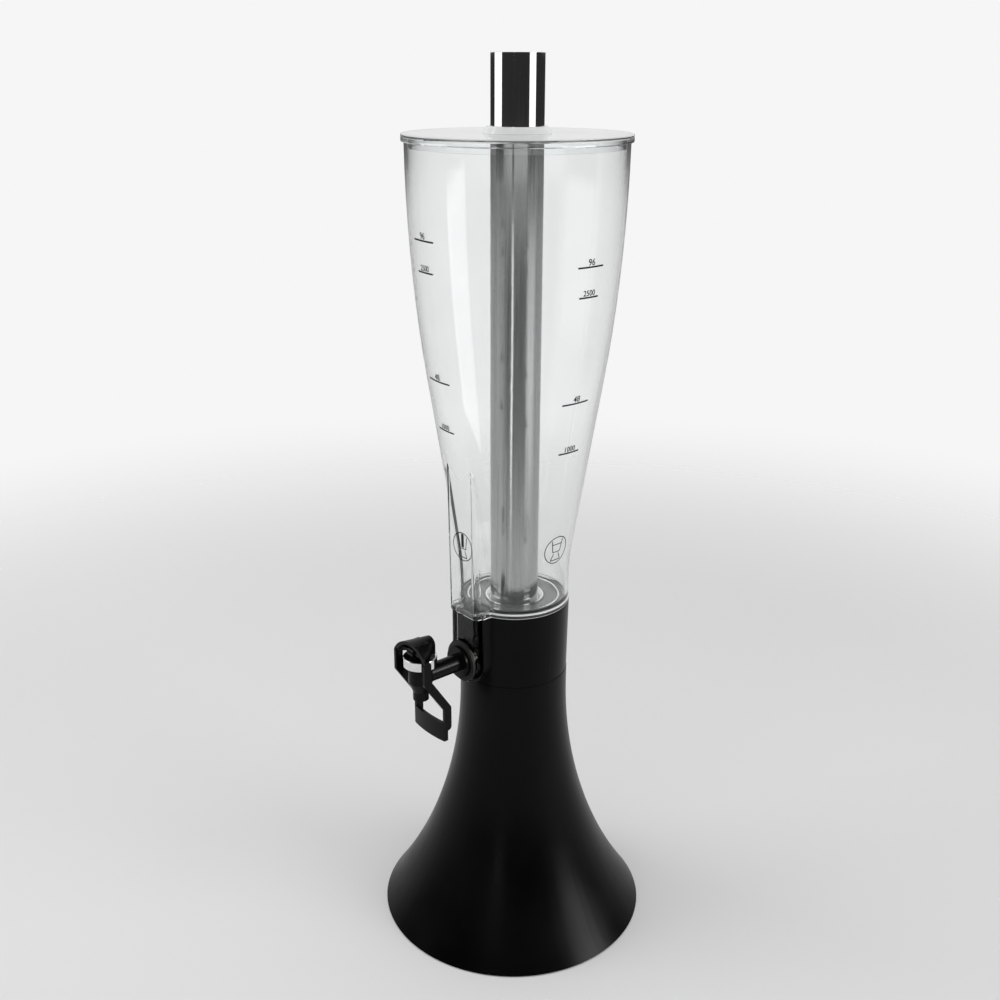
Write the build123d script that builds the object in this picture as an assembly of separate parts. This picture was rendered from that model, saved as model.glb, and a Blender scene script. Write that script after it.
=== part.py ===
"""Beer tower: weighted trumpet base, clear container with a tap chamber, ice tube, lid and tap.

Millimetres, +Z up, the table at z = 0 and the tower's axis on Z. The tap points along -Y, and a
distance called reach is measured from the tower's axis towards the tap.
"""

import math
import os

from build123d import *

# Clearances
SLIDE_GAP = 0.4
RUN_GAP = 0.05
FIT_GAP = 0.02

# Trumpet base
BASE_RADIUS = 110.0
NECK_RADIUS = 43.5
RIM_Z = 1.0
FLARE_HEIGHT = 208.0
NECK_HEIGHT = 16.0
BASE_WALL = 3.0
DECK_THICKNESS = 4.0

# Bottom plate, ballast and feet, with circles measured in from the base's rim
FOOT_RADIUS = 9.0
FOOT_HEIGHT = 2.0
FOOT_INSET = 24.0
FOOT_COUNT = 4
PLATE_THICKNESS = 4.0
PLATE_SCREW_INSET = 26.0
PLATE_SCREW_COUNT = 4
BALLAST_INSET = 40.0
BALLAST_HOLE_RADIUS = 30.0
BALLAST_HEIGHT = 12.0
BALLAST_SCREW_COUNT = 3

# Screws
SCREW_RADIUS = 2.0
SCREW_HEAD_RADIUS = 3.6
SCREW_HEAD_HEIGHT = 2.0
SCREW_GRIP = 9.0
SCREW_PILOT_SPARE = 1.5
SCREW_BOSS_RADIUS = 5.0

# Collar
COLLAR_HEIGHT = 60.0
COLLAR_FLARE = 0.7
COLLAR_STEP = 0.3
COLLAR_WALL = 3.2
COLLAR_FLOOR = 4.0
COLLAR_SCREW_INSET = 13.5
COLLAR_SCREW_COUNT = 3

# Container
VESSEL_HEIGHT = 355.5
VESSEL_WALL = 2.5
VESSEL_FOOT_STEP = 0.7
VESSEL_FOOT_HEIGHT = 20.0
FOOT_BLEND_RADIUS = 190.0
WALL_LEAN = 8.91
MOUTH_RADIUS = 79.9
LIP_HEIGHT = 4.0
LIP_PROUD = 2.1
LIP_EDGE = 0.8
FLOOR_THICKNESS = 3.0
FLANGE_HEIGHT = 4.0
FLANGE_EDGE = 0.8
SPIGOT_DEPTH = 10.0
SPIGOT_WALL = 3.0
FLOOR_CORNER = 4.5
FLOOR_RIB_INSET = 8.5
FLOOR_RIB_SIZE = 1.2
SEAT_DEPTH = 2.4
SEAT_BEVEL = 3.0

# Tap chamber on the container's foot
TAP_DROP = 40.0
POD_PROUD = 8.8
POD_HALF_WIDTH = 17.5
POD_CORNER = 5.0
POD_HEIGHT = 125.0
POD_LEAN = 1.2
POD_FLANGE_STEP = 5.5
POD_FLANGE_PROUD = 2.0
CHAMBER_DEPTH = 23.5
CHAMBER_STEP = 1.0
CHAMBER_SIDE_STEP = 1.9
CHAMBER_SIDE_WALL = 5.0
CHAMBER_CORNER = 3.5
DRUM_FACE_WALL = 4.0

# Ice tube
TUBE_PROUD = 54.5
TUBE_RADIUS = 19.0
TUBE_WALL = 1.0
TUBE_BOTTOM_THICKNESS = 1.5
TUBE_EDGE = 0.3

# Lid
LID_THICKNESS = 1.5
LID_EDGE = 0.4
LID_SPIGOT_DEPTH = 8.0
LID_SPIGOT_WALL = 2.0
LID_GUIDE_WALL = 2.2
LID_GUIDE_FLARE = 3.0
LID_GUIDE_PROUD = 4.8

# Tap body, with heights measured from the shank's axis
TAP_OUT = 41.2
SHANK_RADIUS = 7.0
SHANK_BORE_RADIUS = 4.6
SHANK_SPARE = 4.0
WASHER_RADIUS = 16.5
WASHER_THICKNESS = 2.0
TAP_FLANGE_RADIUS = 12.8
TAP_FLANGE_THICKNESS = 3.5
INNER_WASHER_RADIUS = 10.2
NUT_ACROSS_FLATS = 21.0
NUT_THICKNESS = 5.0
VALVE_RADIUS = 9.5
VALVE_BORE_RADIUS = 7.0
HEAD_RADIUS = 10.9
HEAD_HEIGHT = 4.0
HEAD_RISE = 14.0
SEAT_DROP = 6.4
OUTLET_BORE_RADIUS = 4.2
OUTLET_RADIUS = 6.2
OUTLET_DROP = 19.0
TAPER_LOW_DROP = 12.0
TAPER_HIGH_DROP = 4.0

# Bonnet and its nut
BONNET_PLATE = 1.2
BONNET_BOSS_RADIUS = 8.9
BONNET_NUT_RADIUS = 13.1
BONNET_NUT_GRIP = 3.4
BONNET_NUT_LIP = 1.4
BONNET_NUT_EDGE = 0.6
GASKET_THICKNESS = 1.4
KNUCKLE_RADIUS = 3.4
KNUCKLE_HALF_WIDTH = 3.5

# Valve stem
STEM_RADIUS = 2.5
STEM_TOP_SPARE = 2.0
STEM_FLANGE_RADIUS = 5.6
STEM_FLANGE_THICKNESS = 1.2
CUP_RADIUS = 6.2
CUP_HEIGHT = 4.4
CUP_NOSE_DEPTH = 1.8
STEM_PIN_RADIUS = 1.25
STEM_PIN_LENGTH = 13.6
SPRING_RADIUS = 4.4
SPRING_WIRE_RADIUS = 0.45
SPRING_TURNS = 6

# Lever, with reaches measured from the valve's axis and heights from the pivot
PIVOT_OUT = 6.5
PIVOT_RISE = 5.0
PIVOT_PIN_RADIUS = 1.5
PIVOT_PIN_LENGTH = 31.0
LEVER_WALL = 2.6
HOOD_OUT = 9.5
HOOD_IN = 10.0
HOOD_DROP = 4.4
HOOD_FRONT_HALF_WIDTH = 19.7
HOOD_BACK_HALF_WIDTH = 6.3
HOOD_FRONT_SHOULDER_DROP = 2.0
HOOD_BACK_SHOULDER_RISE = 4.0
HOOD_RISE = 8.5
CHEEK_INNER = 4.2
CHEEK_THICKNESS = 2.2
CHEEK_HALF_LENGTH = 3.8
CHEEK_DROP = 3.6
SLOT_HALF_LENGTH = 2.1
ARM_WIDTH = 6.5
ARM_TOP_OUT = 7.2
ARM_HEEL_IN = 11.2
ARM_KNEE_DROP = 19.5
ARM_HEEL_DROP = 47.0
PLATE_TOP_DROP = 59.5
PLATE_HEIGHT = 15.5
PLATE_DEPTH = 3.0
PLATE_BOW = 2.0
PLATE_CORNER = 1.0

# Heights that follow, from the table up
PLATE_TOP = FOOT_HEIGHT + PLATE_THICKNESS
PLATE_SCREW_SEAT = FOOT_HEIGHT + SCREW_HEAD_HEIGHT + SLIDE_GAP
FLARE_TOP = RIM_Z + FLARE_HEIGHT
SEAM_Z = FLARE_TOP + NECK_HEIGHT
COLLAR_TOP = SEAM_Z + COLLAR_HEIGHT
FLOOR_TOP = COLLAR_TOP + FLOOR_THICKNESS
TUBE_FOOT = FLOOR_TOP - SEAT_DEPTH
VESSEL_FOOT_TOP = COLLAR_TOP + VESSEL_FOOT_HEIGHT
POD_TOP = COLLAR_TOP + POD_HEIGHT
LIP_TOP = COLLAR_TOP + VESSEL_HEIGHT
LID_TOP = LIP_TOP + LID_THICKNESS
TUBE_TOP = LIP_TOP + TUBE_PROUD
TAP_Z = COLLAR_TOP - TAP_DROP
SEAT_Z = TAP_Z - SEAT_DROP
OUTLET_Z = TAP_Z - OUTLET_DROP
CUP_TOP = SEAT_Z + CUP_HEIGHT
SPRING_SEAT = CUP_TOP + STEM_FLANGE_THICKNESS
HEAD_TOP = TAP_Z + HEAD_RISE
GASKET_TOP = HEAD_TOP + GASKET_THICKNESS
BONNET_PLATE_TOP = GASKET_TOP + BONNET_PLATE
BONNET_TOP = BONNET_PLATE_TOP + BONNET_NUT_LIP
PIVOT_Z = BONNET_TOP + PIVOT_RISE
HOOD_BOTTOM = PIVOT_Z - HOOD_DROP
HOOD_CROWN = PIVOT_Z + HOOD_RISE
GLASS_PLATE_TOP = PIVOT_Z - PLATE_TOP_DROP

# Radii that follow, from the axis out
FLARE_WIDTH = BASE_RADIUS - NECK_RADIUS
FLARE_RADIUS = (FLARE_WIDTH ** 2 + FLARE_HEIGHT ** 2) / (2 * FLARE_WIDTH)
COLLAR_FOOT_RADIUS = NECK_RADIUS - COLLAR_STEP
COLLAR_TOP_RADIUS = NECK_RADIUS + COLLAR_FLARE
VESSEL_FOOT_RADIUS = COLLAR_TOP_RADIUS - VESSEL_FOOT_STEP
LIP_RADIUS = MOUTH_RADIUS + LIP_PROUD
SOCKET_RADIUS = TUBE_RADIUS + SLIDE_GAP
SEAT_RIM_RADIUS = SOCKET_RADIUS + SEAT_BEVEL
LEAN = math.radians(WALL_LEAN)
BLEND_CENTRE_RADIUS = VESSEL_FOOT_RADIUS + FOOT_BLEND_RADIUS
SHOULDER_ROOM = (math.sin(LEAN) * (LIP_TOP - VESSEL_FOOT_TOP)
                 + math.cos(LEAN) * (BLEND_CENTRE_RADIUS - MOUTH_RADIUS) - FOOT_BLEND_RADIUS)
SHOULDER_RADIUS = SHOULDER_ROOM / (1 - math.cos(LEAN))

# Reaches and widths that follow, from the axis towards the tap
POD_FRONT = COLLAR_TOP_RADIUS + POD_PROUD
POD_FLANGE_FRONT = POD_FRONT - POD_FLANGE_STEP
POD_FLANGE_HALF_WIDTH = POD_HALF_WIDTH + POD_FLANGE_PROUD
CHAMBER_BACK = POD_FRONT - CHAMBER_DEPTH
CHAMBER_FRONT = POD_FRONT - CHAMBER_STEP
CHAMBER_HALF_WIDTH = POD_HALF_WIDTH - CHAMBER_SIDE_STEP
DRUM_RADIUS = POD_HALF_WIDTH
DRUM_INSIDE = POD_FRONT - DRUM_FACE_WALL
NUT_FACE = DRUM_INSIDE - WASHER_THICKNESS
SHANK_END = NUT_FACE - NUT_THICKNESS - SHANK_SPARE
WASHER_FACE = POD_FRONT + WASHER_THICKNESS
TAP_REACH = POD_FRONT + TAP_OUT
PIVOT_REACH = TAP_REACH + PIVOT_OUT
ARM_HEEL_REACH = TAP_REACH - ARM_HEEL_IN


def post(radius, low, high, x=0.0, y=0.0):
    """Upright cylinder between two heights."""
    return Pos(x, y, (low + high) / 2) * Cylinder(radius, high - low)


def ring(outer, inner, low, high, x=0.0, y=0.0):
    """Upright tube between two heights."""
    return post(outer, low, high, x, y) - post(inner, low, high, x, y)


def frustum(low_radius, high_radius, low, high):
    """Upright cone frustum between two heights."""
    return Pos(0, 0, (low + high) / 2) * Cone(low_radius, high_radius, high - low)


def rod_out(radius, near, far, z):
    """Cylinder lying along the tap's direction between two reaches."""
    return Pos(0, -(near + far) / 2, z) * Rot(90, 0, 0) * Cylinder(radius, far - near)


def rod_across(radius, length, reach, z):
    """Cylinder lying across the tap, centred on its plane."""
    return Pos(0, -reach, z) * Rot(0, 90, 0) * Cylinder(radius, length)


def block(half_width, near, far, low, high):
    """Box centred on the tap's plane between two reaches and two heights."""
    return Pos(0, -(near + far) / 2, (low + high) / 2) * Box(2 * half_width, far - near, high - low)


def rounded_block(half_width, near, far, corner, low, high, lean=0.0):
    """Box like block, with its four upright edges rounded, leaning out by an angle in degrees."""
    outline = Pos(0, -(near + far) / 2, low) * RectangleRounded(2 * half_width, far - near, corner)
    slope = math.radians(lean)
    return extrude(outline, (high - low) / math.cos(slope), dir=(0, -math.sin(slope), math.cos(slope)))


def spin(edges):
    """Solid of revolution about Z from a closed outline of (radius, height) edges."""
    return revolve(Plane.XZ * make_face(edges), Axis.Z)


def arc_about(centre, radius, start, end):
    """Arc about a centre from one angle to another, in radians."""
    points = []
    for angle in (start, (start + end) / 2, end):
        points.append((centre[0] + radius * math.cos(angle), centre[1] + radius * math.sin(angle)))
    return ThreePointArc(*points)


def circle_spots(circle, count, first_degrees):
    """Points spread evenly round the axis."""
    spots = []
    for index in range(count):
        angle = math.radians(first_degrees + 360 * index / count)
        spots.append((circle * math.cos(angle), circle * math.sin(angle)))
    return spots


BALLAST_RADIUS = BASE_RADIUS - BALLAST_INSET
PLATE_SCREW_SPOTS = circle_spots(BASE_RADIUS - PLATE_SCREW_INSET, PLATE_SCREW_COUNT, 0)
FOOT_SPOTS = circle_spots(BASE_RADIUS - FOOT_INSET, FOOT_COUNT, 180 / FOOT_COUNT)
BALLAST_SCREW_SPOTS = circle_spots((BALLAST_RADIUS + BALLAST_HOLE_RADIUS) / 2, BALLAST_SCREW_COUNT, 90)
COLLAR_SCREW_SPOTS = circle_spots(NECK_RADIUS - COLLAR_SCREW_INSET, COLLAR_SCREW_COUNT, 90)


def screws(spots, under_head):
    """Pan-head screws driven upwards, one at each spot."""
    group = []
    for x, y in spots:
        head = post(SCREW_HEAD_RADIUS, under_head - SCREW_HEAD_HEIGHT, under_head, x, y)
        group.append(head + post(SCREW_RADIUS, under_head, under_head + SCREW_GRIP, x, y))
    return Compound(group)


def screw_holes(spots, low, high, radius):
    """Upright holes, one at each spot."""
    return [post(radius, low, high, x, y) for x, y in spots]


def flare(inset, low):
    """Solid trumpet shape, its surface moved inwards by inset, from a low height to the seam."""
    centre = (NECK_RADIUS + FLARE_RADIUS, FLARE_TOP)
    radius = FLARE_RADIUS + inset
    drop = math.asin((FLARE_TOP - low) / radius)
    side = arc_about(centre, radius, math.pi + drop, math.pi)
    foot = side @ 0
    neck = NECK_RADIUS - inset
    rest = Polyline((neck, FLARE_TOP), (neck, SEAM_Z), (0, SEAM_Z), (0, low), (foot.X, low))
    return spin([side, rest])


def flare_inside(z):
    """Inner radius of the trumpet at a height."""
    return NECK_RADIUS + FLARE_RADIUS - math.sqrt((FLARE_RADIUS + BASE_WALL) ** 2 - (FLARE_TOP - z) ** 2)


def base_trumpet():
    outside = flare(0, RIM_Z)
    hollow = flare(BASE_WALL, RIM_Z) - post(NECK_RADIUS, SEAM_Z - DECK_THICKNESS, SEAM_Z)
    shell = outside - hollow
    for x, y in PLATE_SCREW_SPOTS:
        shell += post(SCREW_BOSS_RADIUS, PLATE_TOP, FLARE_TOP, x, y) & outside
    pilot_top = PLATE_TOP + SCREW_GRIP + SCREW_PILOT_SPARE
    shell -= screw_holes(PLATE_SCREW_SPOTS, PLATE_TOP, pilot_top, SCREW_RADIUS + FIT_GAP)
    shell -= screw_holes(COLLAR_SCREW_SPOTS, SEAM_Z - DECK_THICKNESS, SEAM_Z, SCREW_RADIUS + SLIDE_GAP)
    return shell


def bottom_plate():
    plate = post(flare_inside(PLATE_TOP) - SLIDE_GAP, FOOT_HEIGHT, PLATE_TOP)
    for spots in (PLATE_SCREW_SPOTS, BALLAST_SCREW_SPOTS):
        plate -= screw_holes(spots, FOOT_HEIGHT, PLATE_TOP, SCREW_RADIUS + SLIDE_GAP)
        plate -= screw_holes(spots, FOOT_HEIGHT, PLATE_SCREW_SEAT, SCREW_HEAD_RADIUS + SLIDE_GAP)
    return plate


def ballast_ring():
    iron = ring(BALLAST_RADIUS, BALLAST_HOLE_RADIUS, PLATE_TOP, PLATE_TOP + BALLAST_HEIGHT)
    pilot_top = PLATE_TOP + SCREW_GRIP + SCREW_PILOT_SPARE
    return iron - screw_holes(BALLAST_SCREW_SPOTS, PLATE_TOP, pilot_top, SCREW_RADIUS + FIT_GAP)


def rubber_feet():
    return Compound([post(FOOT_RADIUS, 0, FOOT_HEIGHT, x, y) for x, y in FOOT_SPOTS])


def notch(half_width, near):
    """U-shaped block round the tap's axis, from a near reach to the front of the pod's flange."""
    far = POD_FLANGE_FRONT
    return rod_out(half_width, near, far, TAP_Z) + block(half_width, near, far, TAP_Z, COLLAR_TOP)


def base_collar():
    body = frustum(COLLAR_FOOT_RADIUS, COLLAR_TOP_RADIUS, SEAM_Z, COLLAR_TOP)
    body += notch(POD_FLANGE_HALF_WIDTH, CHAMBER_BACK)
    socket_floor = SEAM_Z + COLLAR_FLOOR
    socket_radius = COLLAR_TOP_RADIUS - COLLAR_WALL
    body -= frustum(COLLAR_FOOT_RADIUS - COLLAR_WALL, socket_radius, socket_floor, COLLAR_TOP)
    pilot_top = SEAM_Z + SCREW_GRIP - DECK_THICKNESS + SCREW_PILOT_SPARE
    for x, y in COLLAR_SCREW_SPOTS:
        body += post(SCREW_BOSS_RADIUS, SEAM_Z, pilot_top + SCREW_PILOT_SPARE, x, y)
    body -= screw_holes(COLLAR_SCREW_SPOTS, SEAM_Z, pilot_top, SCREW_RADIUS + FIT_GAP)
    return body - notch(DRUM_RADIUS + SLIDE_GAP, CHAMBER_BACK - SLIDE_GAP)


def vessel_body(inset, low):
    """Solid of the container's wall surface, moved inwards by inset, from a low height to the lip."""
    foot_centre = (BLEND_CENTRE_RADIUS, VESSEL_FOOT_TOP)
    mouth_centre = (MOUTH_RADIUS - SHOULDER_RADIUS, LIP_TOP)
    blend = arc_about(foot_centre, FOOT_BLEND_RADIUS + inset, math.pi, math.pi - LEAN)
    shoulder = arc_about(mouth_centre, SHOULDER_RADIUS - inset, -LEAN, 0)
    cone = Line(blend @ 1, shoulder @ 0)
    rest = Polyline(shoulder @ 1, (0, LIP_TOP), (0, low), ((blend @ 0).X, low), blend @ 0)
    return spin([blend, cone, shoulder, rest])


def foot_flange():
    """Rounded flange that rests on the collar and on the housing round the tap chamber."""
    high = COLLAR_TOP + FLANGE_HEIGHT
    flange = post(COLLAR_TOP_RADIUS, COLLAR_TOP, high)
    flange += block(POD_FLANGE_HALF_WIDTH, 0, POD_FLANGE_FRONT, COLLAR_TOP, high)
    heights = flange.edges().group_by(Axis.Z)
    return fillet(heights[0] + heights[-1], FLANGE_EDGE)


def mouth_lip():
    """Rounded bead round the mouth."""
    bead = post(LIP_RADIUS, LIP_TOP - LIP_HEIGHT, LIP_TOP)
    return fillet(bead.edges(), LIP_EDGE)


def container():
    body = vessel_body(0, COLLAR_TOP) + mouth_lip() + foot_flange()
    spigot_radius = COLLAR_TOP_RADIUS - COLLAR_WALL - 2 * SLIDE_GAP
    body += ring(spigot_radius, spigot_radius - SPIGOT_WALL, COLLAR_TOP - SPIGOT_DEPTH, COLLAR_TOP)
    body += rounded_block(POD_HALF_WIDTH, CHAMBER_BACK, POD_FRONT, POD_CORNER, COLLAR_TOP, POD_TOP, POD_LEAN)
    hollow = vessel_body(VESSEL_WALL, FLOOR_TOP)
    body -= fillet(hollow.edges().group_by(Axis.Z)[0], FLOOR_CORNER)
    rib = VESSEL_FOOT_RADIUS - FLOOR_RIB_INSET
    body += ring(rib + FLOOR_RIB_SIZE, rib, FLOOR_TOP, FLOOR_TOP + FLOOR_RIB_SIZE)
    body += post(SEAT_RIM_RADIUS + VESSEL_WALL, TUBE_FOOT - FLOOR_THICKNESS, COLLAR_TOP)
    body -= frustum(SOCKET_RADIUS, SEAT_RIM_RADIUS, TUBE_FOOT, FLOOR_TOP)
    body -= block(POD_FLANGE_HALF_WIDTH - SLIDE_GAP, CHAMBER_BACK + VESSEL_WALL, COLLAR_TOP_RADIUS,
                  COLLAR_TOP - SPIGOT_DEPTH, COLLAR_TOP)
    body += rounded_block(CHAMBER_HALF_WIDTH, CHAMBER_BACK, CHAMBER_FRONT, CHAMBER_CORNER, TAP_Z, FLOOR_TOP)
    body += rod_out(DRUM_RADIUS, CHAMBER_BACK, POD_FRONT, TAP_Z)
    return body - chamber_hollow()


def chamber_hollow():
    """Room inside the tap chamber and the pod above it, with the tap's hole in the front."""
    near = CHAMBER_BACK + VESSEL_WALL
    corner = CHAMBER_CORNER - VESSEL_WALL
    room = rounded_block(CHAMBER_HALF_WIDTH - CHAMBER_SIDE_WALL, near, DRUM_INSIDE, corner, TAP_Z, POD_TOP)
    room += rod_out(DRUM_RADIUS - VESSEL_WALL, near, DRUM_INSIDE, TAP_Z)
    far = POD_FRONT - VESSEL_WALL
    corner = POD_CORNER - VESSEL_WALL
    room += rounded_block(POD_HALF_WIDTH - VESSEL_WALL, near, far, corner, FLOOR_TOP, POD_TOP, POD_LEAN)
    return room + shank_hole(DRUM_INSIDE, POD_FRONT)


def ice_tube():
    tube = ring(TUBE_RADIUS, TUBE_RADIUS - TUBE_WALL, TUBE_FOOT, TUBE_TOP)
    return fillet(tube.edges().group_by(Axis.Z)[-1], TUBE_EDGE)


def ice_tube_bottom():
    return post(TUBE_RADIUS - TUBE_WALL - FIT_GAP, TUBE_FOOT, TUBE_FOOT + TUBE_BOTTOM_THICKNESS)


def lid():
    guide = SOCKET_RADIUS + LID_GUIDE_WALL
    crown = LID_TOP + LID_GUIDE_PROUD
    spigot = MOUTH_RADIUS - VESSEL_WALL - 2 * SLIDE_GAP
    plate = fillet(post(LIP_RADIUS, LIP_TOP, LID_TOP).edges(), LID_EDGE)
    plate += frustum(guide + LID_GUIDE_FLARE, guide, LID_TOP, crown)
    plate += ring(spigot, spigot - LID_SPIGOT_WALL, LIP_TOP - LID_SPIGOT_DEPTH, LIP_TOP)
    return plate - post(SOCKET_RADIUS, LIP_TOP, crown)


def tap_body():
    taper_low = TAP_Z - TAPER_LOW_DROP
    taper_high = TAP_Z - TAPER_HIGH_DROP
    head_low = HEAD_TOP - HEAD_HEIGHT
    outline = Polyline((0, OUTLET_Z), (OUTLET_RADIUS, OUTLET_Z), (OUTLET_RADIUS, taper_low),
                       (VALVE_RADIUS, taper_high), (VALVE_RADIUS, head_low), (HEAD_RADIUS, head_low),
                       (HEAD_RADIUS, HEAD_TOP), (0, HEAD_TOP), close=True)
    body = Pos(0, -TAP_REACH, 0) * spin(outline)
    body += rod_out(SHANK_RADIUS, SHANK_END, TAP_REACH, TAP_Z)
    body += rod_out(TAP_FLANGE_RADIUS, WASHER_FACE, WASHER_FACE + TAP_FLANGE_THICKNESS, TAP_Z)
    body -= rod_out(SHANK_BORE_RADIUS, SHANK_END, TAP_REACH, TAP_Z)
    body -= post(VALVE_BORE_RADIUS, SEAT_Z, HEAD_TOP, 0, -TAP_REACH)
    return body - post(OUTLET_BORE_RADIUS, OUTLET_Z, SEAT_Z, 0, -TAP_REACH)


def shank_hole(near, far):
    """Hole for the tap's shank between two reaches."""
    return rod_out(SHANK_RADIUS + FIT_GAP, near, far, TAP_Z)


def tap_outer_washer():
    return rod_out(WASHER_RADIUS, POD_FRONT, WASHER_FACE, TAP_Z) - shank_hole(POD_FRONT, WASHER_FACE)


def tap_inner_washer():
    return rod_out(INNER_WASHER_RADIUS, NUT_FACE, DRUM_INSIDE, TAP_Z) - shank_hole(NUT_FACE, DRUM_INSIDE)


def tap_lock_nut():
    outline = RegularPolygon(NUT_ACROSS_FLATS / 2, 6, major_radius=False)
    face = Plane(origin=(0, -NUT_FACE, TAP_Z), x_dir=(1, 0, 0), z_dir=(0, 1, 0))
    return extrude(face * outline, NUT_THICKNESS) - shank_hole(NUT_FACE - NUT_THICKNESS, NUT_FACE)


def tap_bonnet():
    cap = post(HEAD_RADIUS, GASKET_TOP, BONNET_PLATE_TOP, 0, -TAP_REACH)
    cap += post(BONNET_BOSS_RADIUS, GASKET_TOP, BONNET_TOP, 0, -TAP_REACH)
    cap -= post(STEM_RADIUS + RUN_GAP, GASKET_TOP, BONNET_TOP, 0, -TAP_REACH)
    cap += block(KNUCKLE_HALF_WIDTH, PIVOT_REACH - KNUCKLE_RADIUS, PIVOT_REACH, GASKET_TOP, PIVOT_Z)
    cap += rod_across(KNUCKLE_RADIUS, 2 * KNUCKLE_HALF_WIDTH, PIVOT_REACH, PIVOT_Z)
    return cap - rod_across(PIVOT_PIN_RADIUS + FIT_GAP, 2 * KNUCKLE_HALF_WIDTH, PIVOT_REACH, PIVOT_Z)


def bonnet_nut():
    low = HEAD_TOP - BONNET_NUT_GRIP
    nut = post(BONNET_NUT_RADIUS, low, BONNET_TOP, 0, -TAP_REACH)
    nut = fillet(nut.edges().group_by(Axis.Z)[-1], BONNET_NUT_EDGE)
    nut -= post(HEAD_RADIUS + FIT_GAP, low, BONNET_PLATE_TOP, 0, -TAP_REACH)
    return nut - post(BONNET_BOSS_RADIUS + FIT_GAP, low, BONNET_TOP, 0, -TAP_REACH)


def bonnet_gasket():
    return ring(HEAD_RADIUS - FIT_GAP, VALVE_BORE_RADIUS, HEAD_TOP, GASKET_TOP, 0, -TAP_REACH)


def valve_stem():
    stem = post(STEM_RADIUS, CUP_TOP, PIVOT_Z + STEM_TOP_SPARE, 0, -TAP_REACH)
    stem += post(STEM_FLANGE_RADIUS, CUP_TOP, SPRING_SEAT, 0, -TAP_REACH)
    return stem - rod_across(STEM_PIN_RADIUS + FIT_GAP, 2 * STEM_RADIUS, TAP_REACH, PIVOT_Z)


def valve_cup():
    nose = OUTLET_BORE_RADIUS - SLIDE_GAP
    edges = Polyline((0, SEAT_Z - CUP_NOSE_DEPTH), (nose / 2, SEAT_Z - CUP_NOSE_DEPTH), (nose, SEAT_Z),
                     (CUP_RADIUS, SEAT_Z), (CUP_RADIUS, CUP_TOP), (0, CUP_TOP), close=True)
    return Pos(0, -TAP_REACH, 0) * spin(edges)


def stem_pin():
    return rod_across(STEM_PIN_RADIUS, STEM_PIN_LENGTH, TAP_REACH, PIVOT_Z)


def valve_spring():
    low = SPRING_SEAT + SPRING_WIRE_RADIUS
    rise = GASKET_TOP - SPRING_SEAT - 2 * SPRING_WIRE_RADIUS
    coil = Helix(rise / SPRING_TURNS, rise, SPRING_RADIUS)
    wire = Plane(origin=coil @ 0, z_dir=coil % 0) * Circle(SPRING_WIRE_RADIUS)
    return Pos(0, -TAP_REACH, low) * sweep(wire, path=coil, is_frenet=True)


def lever_pivot_pin():
    return rod_across(PIVOT_PIN_RADIUS, PIVOT_PIN_LENGTH, PIVOT_REACH, PIVOT_Z)


def hood_section(reach, half_width, low, shoulder, crown):
    """Arched outline of the lever's hood at a reach."""
    arch = ThreePointArc((half_width, shoulder), (0, crown), (-half_width, shoulder))
    sides = Polyline((-half_width, shoulder), (-half_width, low), (half_width, low), (half_width, shoulder))
    return Plane(origin=(0, -reach, 0), x_dir=(1, 0, 0), z_dir=(0, -1, 0)) * make_face([arch, sides])


def hood(inset):
    """Solid hood from its narrow back to its wide front, moved inwards by inset."""
    low = HOOD_BOTTOM - inset
    crown = HOOD_CROWN - inset
    back = hood_section(TAP_REACH - HOOD_IN + inset, HOOD_BACK_HALF_WIDTH - inset, low,
                        PIVOT_Z + HOOD_BACK_SHOULDER_RISE - inset, crown)
    front = hood_section(TAP_REACH + HOOD_OUT, HOOD_FRONT_HALF_WIDTH - inset, low,
                         PIVOT_Z - HOOD_FRONT_SHOULDER_DROP - inset, crown)
    return loft([back, front])


def lever_cheeks():
    """Two slotted walls under the hood that lift the stem's pin."""
    near = TAP_REACH - CHEEK_HALF_LENGTH
    far = TAP_REACH + CHEEK_HALF_LENGTH
    low = PIVOT_Z - CHEEK_DROP
    high = HOOD_CROWN - LEVER_WALL / 2
    outer = CHEEK_INNER + CHEEK_THICKNESS
    slot = STEM_PIN_RADIUS + SLIDE_GAP
    cheeks = block(outer, near, far, low, high) - block(CHEEK_INNER, near, far, low, high)
    return cheeks - block(outer, TAP_REACH - SLOT_HALF_LENGTH, TAP_REACH + SLOT_HALF_LENGTH,
                          PIVOT_Z - slot, PIVOT_Z + slot)


def lever_arm(side):
    """One bent arm from the hood down to the plate, on the side given as -1 or 1."""
    top = TAP_REACH + ARM_TOP_OUT
    line = [(top, HOOD_BOTTOM), (top, PIVOT_Z - ARM_KNEE_DROP), (ARM_HEEL_REACH, PIVOT_Z - ARM_HEEL_DROP),
            (ARM_HEEL_REACH, GLASS_PLATE_TOP - ARM_WIDTH / 2)]
    outline = Sketch()
    for (reach, z), (next_reach, next_z) in zip(line, line[1:]):
        length = math.hypot(next_reach - reach, next_z - z)
        turn = math.degrees(math.atan2(next_z - z, reach - next_reach))
        middle = (-(reach + next_reach) / 2, (z + next_z) / 2)
        outline += Pos(*middle) * Rot(0, 0, turn) * SlotCenterToCenter(length, ARM_WIDTH)
    arm = extrude(Plane.YZ * outline, LEVER_WALL)
    return Pos(side * (HOOD_FRONT_HALF_WIDTH - LEVER_WALL / 2) - LEVER_WALL / 2, 0, 0) * arm


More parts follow.
